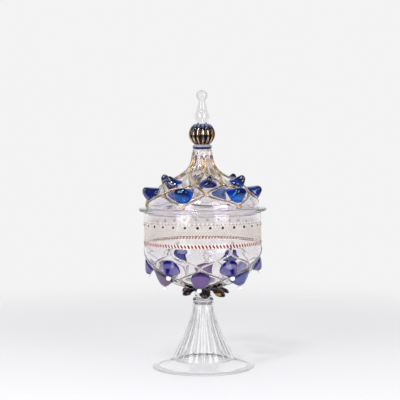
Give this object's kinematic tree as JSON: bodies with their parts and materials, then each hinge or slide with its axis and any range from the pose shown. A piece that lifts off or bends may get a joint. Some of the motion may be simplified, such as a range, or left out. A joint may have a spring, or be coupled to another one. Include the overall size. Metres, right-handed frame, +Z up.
{
  "type": "covered glass cup",
  "caption": "Footed glass cup with a straight-sided bowl, pinched net of ribs, pulled glass petals and a lift-off domed cover with a ribbed knop.",
  "frame": {"origin": "on the table, under the centre of the foot", "axes": "+Z up along the cup's axis, -Y the pictured front"},
  "size_m": [0.1402, 0.1402, 0.3045],
  "materials": {
    "clear_glass": "fire-polished, gilded ribs",
    "cobalt_glass": "fire-polished",
    "violet_glass": "fire-polished",
    "amethyst_glass": "fire-polished",
    "white_glass": "opaque, glossy",
    "gilded_blue_glass": "fire-polished, gilded ribs"
  },
  "bodies": {
    "cup": {"foot_disc": "clear_glass", "foot_cone": "clear_glass", "stem_ring": "clear_glass", "stem_collar": "clear_glass", "bowl": "clear_glass", "whorl_leaf_1": "amethyst_glass", "whorl_leaf_2": "amethyst_glass", "whorl_leaf_3": "amethyst_glass", "whorl_leaf_4": "amethyst_glass", "whorl_leaf_5": "amethyst_glass", "whorl_leaf_6": "amethyst_glass", "bowl_upper_petal_1": "violet_glass", "bowl_upper_petal_2": "violet_glass", "bowl_upper_petal_3": "violet_glass", "bowl_upper_petal_4": "violet_glass", "bowl_upper_petal_5": "violet_glass", "bowl_upper_petal_6": "violet_glass", "bowl_lower_petal_1": "violet_glass", "bowl_lower_petal_2": "violet_glass", "bowl_lower_petal_3": "violet_glass", "bowl_lower_petal_4": "violet_glass", "bowl_lower_petal_5": "violet_glass", "bowl_lower_petal_6": "violet_glass", "bowl_upper_pearl_1": "white_glass", "bowl_upper_pearl_2": "white_glass", "bowl_upper_pearl_3": "white_glass", "bowl_upper_pearl_4": "white_glass", "bowl_upper_pearl_5": "white_glass", "bowl_upper_pearl_6": "white_glass", "bowl_lower_pearl_1": "white_glass", "bowl_lower_pearl_2": "white_glass", "bowl_lower_pearl_3": "white_glass", "bowl_lower_pearl_4": "white_glass", "bowl_lower_pearl_5": "white_glass", "bowl_lower_pearl_6": "white_glass"},
    "cover": {"cover_flange": "clear_glass", "cover_locating_ring": "clear_glass", "cover_bell": "clear_glass", "cover_upper_petal_1": "cobalt_glass", "cover_upper_petal_2": "cobalt_glass", "cover_upper_petal_3": "cobalt_glass", "cover_upper_petal_4": "cobalt_glass", "cover_upper_petal_5": "cobalt_glass", "cover_upper_petal_6": "cobalt_glass", "cover_lower_petal_1": "cobalt_glass", "cover_lower_petal_2": "cobalt_glass", "cover_lower_petal_3": "cobalt_glass", "cover_lower_petal_4": "cobalt_glass", "cover_lower_petal_5": "cobalt_glass", "cover_lower_petal_6": "cobalt_glass", "neck_ring": "clear_glass", "neck_merese": "clear_glass", "knop": "gilded_blue_glass", "finial_baluster": "clear_glass", "finial_ball": "clear_glass"}
  },
  "joints": [
    {"name": "cover_lift", "type": "slide", "parent": "cup", "child": "cover", "axis": [0, 0, 1], "range_m": [0, 0.15]}
  ]
}
